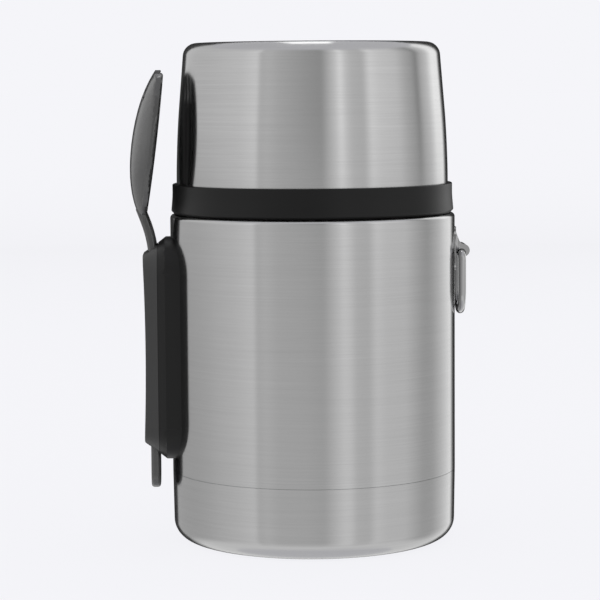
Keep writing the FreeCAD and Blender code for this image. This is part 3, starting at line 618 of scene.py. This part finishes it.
@dataclass
class JarBody:
    """Double-walled steel jar: outer wall, foot cup, inner vessel and what the vacuum hides."""

    wall: float = 0.0007
    shoulder_round: float = 0.0013
    neck_outer: float = 0.0409
    neck_wall: float = 0.0007
    mouth_radius: float = 0.038
    liner_inner: float = 0.0436
    liner_corner: float = 0.009
    neck_depth: float = 0.018
    neck_flare: float = 0.007
    flare_round: float = 0.0035
    lip: float = 0.0011
    lip_round: float = 0.00035
    foot_corner: float = 0.007
    foot_taper: float = 0.0004
    foot_ring: float = 0.012
    foot_recess: float = 0.0018
    foot_bend: float = 0.0008
    cup_lap: float = 0.008
    seal_gap: float = 0.0002
    thread_rise: float = 0.0007
    thread_start: float = 0.0035
    thread_turns: float = 1.3

    def build(self) -> None:
        """Builds and settles every piece of the jar."""
        steel = BRUSHED_STEEL.material()
        inner = INNER_STEEL.material()
        settle(self.outer_shell(), Body.JAR, Slot.BRUSHED_STEEL, steel, "outer_shell")
        settle(self.neck_thread(), Body.JAR, Slot.BRUSHED_STEEL, steel)
        settle(self.base_cup(), Body.JAR, Slot.BRUSHED_STEEL, steel, "base_cup")
        settle(self.inner_liner(), Body.JAR, Slot.INNER_STEEL, inner, "inner_liner")
        dress_node("vacuum_bottom", inner)
        dress_node("vacuum_seal", SEAL_BEAD.material())
        dress_node("getter", GETTER_ALLOY.material())

    def outer_shell(self) -> bpy.types.Object:
        """Turns the outer wall with its shoulder and neck.

        Returns:
            The piece.
        """
        low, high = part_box("outer_shell")
        radius, shoulder = high.x, self.shoulder()
        inner = radius - self.wall
        neck_inner = self.neck_outer - self.neck_wall
        piece = turn("outer_wall", [
            Station(radius, low.z),
            Station(radius, shoulder, self.shoulder_round, 8),
            Station(self.neck_outer, shoulder, self.shoulder_round / 2, 4),
            Station(self.neck_outer, high.z),
            Station(neck_inner, high.z),
            Station(neck_inner, shoulder - self.wall),
            Station(inner, shoulder - self.wall),
            Station(inner, low.z),
        ])
        smooth(piece)
        return piece

    def shoulder(self) -> float:
        """Height of the shoulder: just under the lid's seal."""
        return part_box("lid_collar")[0].z - self.seal_gap

    def neck_thread(self) -> bpy.types.Object:
        """Makes the screw ridge on the neck, under the collar."""
        bottom = self.shoulder() + self.thread_start
        return thread("neck_thread", self.neck_outer, bottom, self.thread_rise, self.thread_turns)

    def base_cup(self) -> bpy.types.Object:
        """Turns the foot cup with its rounded foot and recessed underside.

        Returns:
            The piece.
        """
        low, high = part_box("base_cup")
        radius = high.x
        foot = radius - self.foot_taper
        ring_inner = foot - self.foot_corner - self.foot_ring
        floor = self.foot_recess
        piece = turn("foot_cup", [
            Station(0, floor),
            Station(ring_inner - floor, floor, self.foot_bend, 5),
            Station(ring_inner, low.z, self.foot_bend, 5),
            Station(foot, low.z, self.foot_corner, 16),
            Station(radius, high.z),
            Station(radius - self.wall, high.z),
            Station(radius - self.wall, high.z - self.cup_lap),
            Station(foot - self.wall, low.z + self.wall, self.foot_corner - self.wall, 8),
            Station(ring_inner, low.z + self.wall),
            Station(ring_inner - floor, floor + self.wall),
            Station(0, floor + self.wall),
        ])
        smooth(piece)
        return piece

    def inner_liner(self) -> bpy.types.Object:
        """Turns the inner vessel with its neck and lip.

        Returns:
            The piece.
        """
        low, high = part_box("inner_liner")
        outer = high.x
        neck_bottom = high.z - self.neck_depth
        flare_bottom = neck_bottom - self.neck_flare
        neck_out = self.mouth_radius + self.wall
        corner = self.liner_corner
        piece = turn("inner_vessel", [
            Station(0, low.z),
            Station(outer, low.z, corner, 8),
            Station(outer, flare_bottom),
            Station(neck_out, neck_bottom),
            Station(neck_out, high.z - self.lip),
            Station(self.neck_outer, high.z - self.lip, self.lip_round, 4),
            Station(self.neck_outer, high.z, self.lip_round, 4),
            Station(self.mouth_radius, high.z, self.lip_round, 4),
            Station(self.mouth_radius, neck_bottom, self.flare_round, 8),
            Station(self.liner_inner, flare_bottom, self.flare_round, 8),
            Station(self.liner_inner, low.z + self.wall, corner - self.wall, 12),
            Station(0, low.z + self.wall),
        ])
        smooth(piece)
        return piece


@dataclass
class Stopper:
    """Screwed stopper: hollow plug, foam, dished cap with its flange, and the seal."""

    plug_radius: float = 0.0368
    plug_wall: float = 0.002
    plug_round: float = 0.0012
    thread_rise: float = 0.0009
    thread_start: float = 0.004
    thread_turns: float = 1.3
    seal_gap: float = 0.0001
    seal_round: float = 0.0005

    def build(self) -> None:
        """Builds and settles the stopper's pieces."""
        black = STOPPER_BLACK.material()
        settle(self.plug(), Body.STOPPER, Slot.STOPPER_PLASTIC, black, "stopper_body")
        settle(self.plug_thread(), Body.STOPPER, Slot.STOPPER_PLASTIC, black)
        cap = merged_copy("stopper_cap", "stopper_knob")
        settle(cap, Body.STOPPER, Slot.STOPPER_PLASTIC, black, "stopper_cap")
        settle(self.seal(), Body.STOPPER_GASKET, Slot.SILICONE, SILICONE.material(), "stopper_seal")
        dress_node("stopper_foam", FOAM.material())

    def plug(self) -> bpy.types.Object:
        """Turns the hollow plug.

        Returns:
            The piece.
        """
        low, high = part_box("stopper_body")
        inner = self.plug_radius - self.plug_wall
        piece = turn("stopper_plug", [
            Station(0, low.z),
            Station(self.plug_radius, low.z, self.plug_round, 5),
            Station(self.plug_radius, high.z),
            Station(inner, high.z),
            Station(inner, low.z + self.plug_wall),
            Station(0, low.z + self.plug_wall),
        ])
        smooth(piece)
        return piece

    def plug_thread(self) -> bpy.types.Object:
        """Makes the screw ridge on the plug."""
        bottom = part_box("stopper_body")[0].z + self.thread_start
        return thread("plug_thread", self.plug_radius, bottom, self.thread_rise, self.thread_turns)

    def seal(self) -> bpy.types.Object:
        """Turns the soft ring under the flange."""
        low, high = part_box("stopper_seal")
        inner = self.plug_radius + self.seal_gap
        return soft_ring("stopper_gasket_ring", inner, high.x, low.z, high.z, self.seal_round)


def soft_ring(name: str, inner: float, outer: float, bottom: float, top: float,
              edge_round: float) -> bpy.types.Object:
    """Turns a flat soft ring with rounded edges.

    Args:
        name: Name of the ring.
        inner: Radius of its hole.
        outer: Radius of its rim.
        bottom: Height of its underside.
        top: Height of its upper side.
        edge_round: Radius of its edges.

    Returns:
        The ring.
    """
    piece = turn(name, [
        Station(inner, bottom, edge_round, 4),
        Station(outer, bottom, edge_round, 4),
        Station(outer, top, edge_round, 4),
        Station(inner, top, edge_round, 4),
    ])
    smooth(piece)
    return piece


@dataclass
class BowlLid:
    """Bowl lid: steel skin, inner bowl, black screw collar and its seal."""

    wall: float = 0.0007
    taper: float = 0.003
    knee_rise: float = 0.013
    knee_round: float = 0.3
    corner: float = 0.0046
    panel_rim: float = 0.0066
    panel_depth: float = 0.0007
    panel_round: float = 0.0008
    bowl_gap: float = 0.0015
    bowl_taper: float = 0.002
    bowl_corner: float = 0.007
    collar_inner: float = 0.0421
    collar_straight: float = 0.0491
    collar_chamfer: float = 0.0011
    collar_flare_rise: float = 0.0062
    collar_edge: float = 0.00035
    flare_round: float = 0.03
    foot_round: float = 0.0003
    chamfer_round: float = 0.0004
    groove_rise: float = 0.00012
    groove_gap: float = 0.0001
    seal_width: float = 0.0032
    seal_round: float = 0.0004
    thread_rise: float = 0.0004
    thread_width: float = 0.0016
    thread_start: float = 0.0055
    thread_turns: float = 0.9

    def build(self) -> None:
        """Builds and settles the lid's pieces."""
        steel = BRUSHED_STEEL.material()
        settle(self.skin(), Body.LID, Slot.BRUSHED_STEEL, steel, "lid_shell")
        settle(self.bowl(), Body.LID, Slot.INNER_STEEL, INNER_STEEL.material(), "lid_bowl")
        settle(self.collar(), Body.LID, Slot.BLACK_PLASTIC, COLLAR_BLACK.material(), "lid_collar")
        settle(self.collar_thread(), Body.LID, Slot.BLACK_PLASTIC, COLLAR_BLACK.material())
        settle(self.seal(), Body.LID_GASKET, Slot.SILICONE, SILICONE.material(), "lid_seal")

    def skin(self) -> bpy.types.Object:
        """Turns the steel skin with its drawn-in wall and recessed top panel.

        Returns:
            The piece.
        """
        low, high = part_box("lid_shell")
        radius = high.x
        top_radius = radius - self.taper
        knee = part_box("lid_collar")[1].z + self.knee_rise
        panel = top_radius - self.panel_rim
        inner = radius - self.wall
        ceiling = high.z - self.panel_depth - self.wall
        piece = turn("lid_skin", [
            Station(0, high.z - self.panel_depth),
            Station(panel - 2 * self.panel_depth, high.z - self.panel_depth, self.panel_round, 4),
            Station(panel, high.z, self.panel_round, 4),
            Station(top_radius, high.z, self.corner, 12),
            Station(radius, knee, self.knee_round, 8),
            Station(radius, low.z),
            Station(inner, low.z),
            Station(inner, knee),
            Station(top_radius - self.wall, ceiling, self.corner - self.wall, 6),
            Station(0, ceiling),
        ])
        smooth(piece)
        return piece

    def bowl(self) -> bpy.types.Object:
        """Turns the inner bowl with the flange that rests on the collar.

        Returns:
            The piece.
        """
        low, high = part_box("lid_bowl")
        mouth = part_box("lid_shell")[1].x - self.wall - self.bowl_gap
        top_radius = mouth - self.bowl_taper
        piece = turn("lid_inner_bowl", [
            Station(0, high.z),
            Station(top_radius, high.z, self.bowl_corner, 8),
            Station(mouth, low.z + self.wall),
            Station(high.x, low.z + self.wall),
            Station(high.x, low.z),
            Station(mouth - self.wall, low.z, self.wall / 2, 3),
            Station(top_radius - self.wall, high.z - self.wall, self.bowl_corner - self.wall, 10),
            Station(0, high.z - self.wall),
        ])
        smooth(piece)
        return piece

    def collar(self) -> bpy.types.Object:
        """Turns the black collar: slim waist, flared foot, chamfer and the groove for the seal.

        Returns:
            The piece.
        """
        low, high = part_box("lid_collar")
        flare = high.x
        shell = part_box("lid_shell")
        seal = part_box("lid_seal")
        slot_inner = shell[1].x - self.wall
        groove_top = seal[1].z + self.groove_rise
        groove_outer = seal[1].x + self.groove_gap
        groove_inner = groove_outer - self.seal_width - 2 * self.groove_gap
        piece = turn("screw_collar", [
            Station(self.collar_inner, low.z),
            Station(groove_inner, low.z),
            Station(groove_inner, groove_top),
            Station(groove_outer, groove_top),
            Station(groove_outer, low.z),
            Station(flare - self.collar_chamfer, low.z, self.foot_round, 3),
            Station(flare, low.z + self.collar_chamfer, self.chamfer_round, 4),
            Station(self.collar_straight, low.z + self.collar_flare_rise, self.flare_round, 4),
            Station(self.collar_straight, high.z, self.collar_edge, 4),
            Station(shell[1].x, high.z),
            Station(shell[1].x, shell[0].z),
            Station(slot_inner, shell[0].z),
            Station(slot_inner, high.z),
            Station(self.collar_inner, high.z, self.collar_edge, 4),
        ])
        smooth(piece)
        return piece

    def collar_thread(self) -> bpy.types.Object:
        """Makes the screw ridge inside the collar."""
        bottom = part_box("lid_collar")[0].z + self.thread_start
        return thread(
            "collar_thread", self.collar_inner, bottom, -self.thread_rise, self.thread_turns,
            self.thread_width,
        )

    def seal(self) -> bpy.types.Object:
        """Turns the soft ring in the collar's foot."""
        low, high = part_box("lid_seal")
        return soft_ring("lid_gasket_ring", high.x - self.seal_width, high.x, low.z, high.z, self.seal_round)


@dataclass
class HangingRing:
    """Wire ring and the hooked bracket that it hangs in."""

    wire: float = 0.0027
    top_round: float = 0.0024
    top_steps: int = 10
    foot_share: float = 0.999
    foot_steps: int = 24
    wire_sides: int = 32
    bracket_smooth: float = 40.0

    def build(self) -> None:
        """Builds and settles the ring and its bracket."""
        bright = BRIGHT_STEEL.material()
        settle(self.ring(), Body.RING, Slot.BRIGHT_STEEL, bright, "carry_ring")
        bracket = merged_copy("ring_bracket", "hook_bracket", self.bracket_smooth)
        settle(bracket, Body.JAR, Slot.BRIGHT_STEEL, bright, "ring_bracket")

    def ring(self) -> bpy.types.Object:
        """Bends the wire ring: a plane's outline with rounded corners, swept by a round section.

        Returns:
            The ring.
        """
        low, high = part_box("carry_ring")
        half_wire = self.wire / 2
        limb = high.y - half_wire
        top, bottom = high.z - half_wire, low.z + half_wire
        middle = (low + high) / 2
        deselect_all()
        bpy.ops.mesh.primitive_plane_add(size=2)
        bpy.ops.object.mode_set(mode="EDIT")
        bpy.ops.mesh.select_all(action="SELECT")
        bpy.ops.transform.rotate(value=math.pi / 2, orient_axis="Y", center_override=(0, 0, 0))
        bpy.ops.transform.resize(value=(1, limb, (top - bottom) / 2), center_override=(0, 0, 0))
        bpy.ops.transform.translate(value=(middle.x, 0, middle.z))
        bpy.ops.mesh.delete(type="ONLY_FACE")
        self.round_corners(top, self.top_round, self.top_steps)
        self.round_corners(bottom, limb * self.foot_share, self.foot_steps)
        bpy.ops.object.mode_set(mode="OBJECT")
        bpy.ops.object.convert(target="CURVE")
        piece = bpy.context.object
        piece.data.bevel_depth = half_wire
        piece.data.bevel_resolution = self.wire_sides // 4 - 2
        bpy.ops.object.convert(target="MESH")
        piece = bpy.context.object
        piece.name = piece.data.name = "wire_ring"
        bpy.ops.object.mode_set(mode="EDIT")
        bpy.ops.mesh.select_all(action="SELECT")
        bpy.ops.mesh.remove_doubles(threshold=MERGE_DISTANCE)
        bpy.ops.mesh.normals_make_consistent(inside=False)
        bpy.ops.object.mode_set(mode="OBJECT")
        bpy.ops.object.shade_smooth()
        return piece

    def round_corners(self, height: float, radius: float, steps: int) -> None:
        """Rounds the two corners of the outline at one height.

        Args:
            height: Height of the corners.
            radius: Radius of the rounds.
            steps: Edges in each round.
        """
        bpy.ops.mesh.select_mode(type="VERT")
        bpy.ops.mesh.select_all(action="DESELECT")
        mesh = bpy.context.object.data
        net = bmesh.from_edit_mesh(mesh)
        for vert in net.verts:
            vert.select_set(abs(vert.co.z - height) < NEAR)
        bmesh.update_edit_mesh(mesh)
        bpy.ops.mesh.bevel(
            offset_type="OFFSET", offset=radius, segments=steps, profile=0.5, affect="VERTICES"
        )


@dataclass
class SporkAndHolder:
    """Spork and the two-part moulded holder on the jar's wall."""

    holder_smooth: float = 14.0
    spork_smooth: float = 40.0

    def build(self) -> None:
        """Builds and settles the holder, its fasteners and the spork."""
        base = merged_copy("holder_base", "holder_back", self.holder_smooth)
        settle(base, Body.JAR, Slot.BLACK_PLASTIC, HOLDER_BLACK.material(), "holder_base")
        cover = merged_copy("holder_cover", "holder_front", self.holder_smooth)
        # The cover's finish is a lit copy of the holder's black: its lighter colour is painted light on the
        # chamfered face.
        settle(cover, Body.JAR, Slot.BLACK_PLASTIC, COVER_BLACK_PAINTED_LIT.material(), "holder_cover")
        spork = merged_copy("spork", "spork_moulding", self.spork_smooth)
        settle(spork, Body.SPORK, Slot.SPORK_PLASTIC, SPORK_GREY.material(), "spork")
        dress_node("weld_bosses", SCREW_STEEL.material())
        dress_node("holder_screws", SCREW_STEEL.material())


# Studio


@dataclass(frozen=True)
class Tone:
    """Levels of the surround in one direction, in degrees from the camera's side: below and above."""

    azimuth: float
    low: float
    high: float


@dataclass
class Studio:
    """Camera, pale floor, plain light and the softly banded surround that the steel mirrors."""

    backdrop: tuple[float, float, float] = (0.913, 0.913, 0.947)
    camera_place: tuple[float, float, float] = (-0.03296, -0.81305, 0.1602)
    yaw: float = -2.0
    tilt_down: float = 5.35
    roll: float = -0.4
    lens: float = 138.76
    surround_radius: float = 1.5
    surround_bottom: float = -2.2
    surround_top: float = 1.3
    low_height: float = -0.05
    high_height: float = 0.25
    floor_size: float = 60.0
    floor_glow: float = 0.93
    surround_sides: int = 180
    ground_top: float = -0.75
    ground_fade: float = 0.4
    ground_level: float = 1.12
    panel_size: tuple[float, float] = (0.34, 0.8)
    panel_place: tuple[float, float, float] = (0.0, 0.6, 1.45)
    panel_level: float = 2.6
    tones: tuple[Tone, ...] = (
        Tone(-180, 0.04, 0.04), Tone(-152, 0.05, 0.06), Tone(-149, 0.60, 0.90), Tone(-110, 0.70, 0.98),
        Tone(-96, 0.76, 1.02), Tone(-84, 0.84, 1.06), Tone(-66, 0.94, 1.12), Tone(-50, 1.06, 1.30),
        Tone(-47, 0.82, 0.88), Tone(-40, 0.90, 0.94), Tone(-30, 0.81, 0.82),
        Tone(-8, 0.80, 0.64), Tone(6, 0.75, 0.55), Tone(12, 0.90, 0.88), Tone(18, 1.05, 1.20),
        Tone(22, 1.14, 1.60), Tone(27, 1.14, 1.15), Tone(32, 0.92, 0.98), Tone(42, 0.88, 0.90),
        Tone(49, 1.10, 1.42), Tone(58, 1.00, 1.25), Tone(76, 0.99, 1.12), Tone(86, 0.84, 0.85),
        Tone(95, 0.70, 0.68), Tone(101, 0.69, 0.44), Tone(108, 0.70, 0.85), Tone(118, 0.88, 1.10),
        Tone(129, 1.08, 1.70), Tone(143, 1.30, 1.45), Tone(149, 0.30, 0.30), Tone(153, 0.04, 0.04),
    )

    def build(self) -> None:
        """Sets up camera, world, floor, surround and the panel overhead."""
        self.camera()
        self.world()
        self.floor()
        self.surround()
        self.panel()
        bpy.context.scene.view_settings.view_transform = "Standard"

    def camera(self) -> None:
        """Places the camera where the photograph was taken from."""
        data = bpy.data.cameras.new("camera")
        data.lens = self.lens
        data.clip_end = 50
        camera = bpy.data.objects.new("camera", data)
        bpy.context.scene.collection.objects.link(camera)
        turn_z = Matrix.Rotation(math.radians(self.yaw), 4, "Z")
        tilt = Matrix.Rotation(math.radians(90 - self.tilt_down), 4, "X")
        roll = Matrix.Rotation(math.radians(self.roll), 4, "Z")
        camera.matrix_world = Matrix.Translation(self.camera_place) @ turn_z @ tilt @ roll
        bpy.context.scene.camera = camera

    def world(self) -> None:
        """Fills the world with plain light and shows the backdrop to camera and mirror rays."""
        world = bpy.data.worlds.new("studio")
        world.use_nodes = True
        bpy.context.scene.world = world
        nodes, links = world.node_tree.nodes, world.node_tree.links
        light = nodes["Background"]
        light.inputs["Color"].default_value = (1, 1, 1, 1)
        seen = nodes.new("ShaderNodeBackground")
        seen.inputs["Color"].default_value = (*self.backdrop, 1)
        path = nodes.new("ShaderNodeLightPath")
        first = nodes.new("ShaderNodeMath")
        first.operation = "MAXIMUM"
        second = nodes.new("ShaderNodeMath")
        second.operation = "MAXIMUM"
        links.new(path.outputs["Is Camera Ray"], first.inputs[0])
        links.new(path.outputs["Is Glossy Ray"], first.inputs[1])
        links.new(first.outputs[0], second.inputs[0])
        links.new(path.outputs["Is Transmission Ray"], second.inputs[1])
        mix = nodes.new("ShaderNodeMixShader")
        links.new(second.outputs[0], mix.inputs[0])
        links.new(light.outputs[0], mix.inputs[1])
        links.new(seen.outputs[0], mix.inputs[2])
        links.new(mix.outputs[0], nodes["World Output"].inputs[0])

    def floor(self) -> None:
        """Lays a pale floor that keeps the jar's shadow."""
        deselect_all()
        bpy.ops.mesh.primitive_plane_add(size=self.floor_size)
        floor = bpy.context.object
        floor.name = "floor"
        floor.visible_glossy = False
        finish = bpy.data.materials.new("floor_pale")
        finish.use_nodes = True
        nodes, links = finish.node_tree.nodes, finish.node_tree.links
        shader = nodes["Principled BSDF"]
        shader.inputs["Base Color"].default_value = (*self.backdrop, 1)
        shader.inputs["Roughness"].default_value = 0.9
        shader.inputs["Specular IOR Level"].default_value = 0.0
        glow = nodes.new("ShaderNodeEmission")
        glow.inputs["Color"].default_value = (*self.backdrop, 1)
        path = nodes.new("ShaderNodeLightPath")
        share = nodes.new("ShaderNodeMath")
        share.operation = "MULTIPLY"
        share.inputs[1].default_value = self.floor_glow
        links.new(path.outputs["Is Camera Ray"], share.inputs[0])
        mix = nodes.new("ShaderNodeMixShader")
        links.new(share.outputs[0], mix.inputs[0])
        links.new(shader.outputs[0], mix.inputs[1])
        links.new(glow.outputs[0], mix.inputs[2])
        links.new(mix.outputs[0], nodes["Material Output"].inputs[0])
        finish.cycles.emission_sampling = "NONE"
        floor.data.materials.append(finish)

    def surround(self) -> None:
        """Stands a round light tent about the jar, whose bands of light the camera itself doesn't see."""
        deselect_all()
        height = self.surround_top - self.surround_bottom
        middle = (self.surround_top + self.surround_bottom) / 2
        bpy.ops.mesh.primitive_cylinder_add(
            vertices=self.surround_sides, radius=self.surround_radius, depth=height,
            end_fill_type="NOTHING", location=(0, 0, middle),
        )
        bpy.ops.object.transform_apply(location=True)
        surround = bpy.context.object
        surround.name = "surround"
        surround.visible_camera = False
        finish, glow = self.glow_finish("surround_bands", self.top_level())
        nodes, links = finish.node_tree.nodes, finish.node_tree.links
        split = nodes.new("ShaderNodeSeparateXYZ")
        links.new(nodes.new("ShaderNodeTexCoord").outputs["Object"], split.inputs[0])
        back = nodes.new("ShaderNodeMath")
        back.operation = "MULTIPLY"
        back.inputs[1].default_value = -1.0
        links.new(split.outputs[1], back.inputs[0])
        angle = nodes.new("ShaderNodeMath")
        angle.operation = "ARCTAN2"
        links.new(split.outputs[0], angle.inputs[0])
        links.new(back.outputs[0], angle.inputs[1])
        share = nodes.new("ShaderNodeMapRange")
        share.inputs["From Min"].default_value = -math.pi
        share.inputs["From Max"].default_value = math.pi
        links.new(angle.outputs[0], share.inputs["Value"])
        rise = nodes.new("ShaderNodeMapRange")
        rise.inputs["From Min"].default_value = self.low_height
        rise.inputs["From Max"].default_value = self.high_height
        links.new(split.outputs[2], rise.inputs["Value"])
        mix = nodes.new("ShaderNodeMix")
        mix.data_type = "RGBA"
        links.new(rise.outputs[0], mix.inputs["Factor"])
        low_levels = [tone.low for tone in self.tones]
        high_levels = [tone.high for tone in self.tones]
        for socket, levels in (("A", low_levels), ("B", high_levels)):
            ramp = nodes.new("ShaderNodeValToRGB")
            links.new(share.outputs[0], ramp.inputs[0])
            links.new(ramp.outputs[0], mix.inputs[socket])
            self.fill_ramp(ramp.color_ramp, levels)
        drop = nodes.new("ShaderNodeMapRange")
        drop.inputs["From Min"].default_value = self.ground_top
        drop.inputs["From Max"].default_value = self.ground_top - self.ground_fade
        links.new(split.outputs[2], drop.inputs["Value"])
        ground = nodes.new("ShaderNodeMix")
        ground.data_type = "RGBA"
        ground.inputs["B"].default_value = (*[self.ground_level / self.top_level()] * 3, 1)
        links.new(drop.outputs[0], ground.inputs["Factor"])
        links.new(mix.outputs["Result"], ground.inputs["A"])
        links.new(ground.outputs["Result"], glow.inputs["Color"])
        surround.data.materials.append(finish)

    def panel(self) -> None:
        """Hangs a narrow light panel overhead, which the rounded edges of the steel mirror."""
        deselect_all()
        bpy.ops.mesh.primitive_plane_add(size=1)
        panel = bpy.context.object
        panel.name = "light_panel"
        bpy.ops.object.mode_set(mode="EDIT")
        bpy.ops.mesh.select_all(action="SELECT")
        bpy.ops.transform.resize(value=(*self.panel_size, 1), center_override=(0, 0, 0))
        bpy.ops.transform.translate(value=self.panel_place)
        bpy.ops.object.mode_set(mode="OBJECT")
        panel.visible_camera = False
        panel.data.materials.append(self.glow_finish("panel_glow", self.panel_level)[0])

    def glow_finish(self, name: str, level: float) -> tuple[bpy.types.Material, bpy.types.Node]:
        """Makes a material that glows and isn't sampled as a lamp.

        Args:
            name: Name of the material.
            level: Strength of its glow.

        Returns:
            The material and its Emission node.
        """
        finish = bpy.data.materials.new(name)
        finish.use_nodes = True
        finish.cycles.emission_sampling = "NONE"
        nodes = finish.node_tree.nodes
        nodes.remove(nodes["Principled BSDF"])
        glow = nodes.new("ShaderNodeEmission")
        glow.inputs["Strength"].default_value = level
        finish.node_tree.links.new(glow.outputs[0], nodes["Material Output"].inputs[0])
        return finish, glow

    def top_level(self) -> float:
        """Brightest level of the surround."""
        return max(max(tone.low, tone.high) for tone in self.tones)

    def fill_ramp(self, ramp: bpy.types.ColorRamp, levels: list[float]) -> None:
        """Sets a ramp's stops to the tones' directions.

        Args:
            ramp: Ramp with its two first stops.
            levels: Level of each stop, stored as a share of the brightest.
        """
        stops = ramp.elements
        stops.remove(stops[1])
        for i, (tone, level) in enumerate(zip(self.tones, levels)):
            stop = stops[0] if i == 0 else stops.new((tone.azimuth + 180) / 360)
            share = level / self.top_level()
            stop.color = (share, share, share, 1)


def main() -> None:
    """Builds the jar piece by piece, then the studio."""
    logging.basicConfig(level=logging.INFO, format="%(name)s: %(message)s")
    JarBody().build()
    Stopper().build()
    BowlLid().build()
    HangingRing().build()
    SporkAndHolder().build()
    Studio().build()
    deselect_all()


if __name__ == "__main__":
    main()
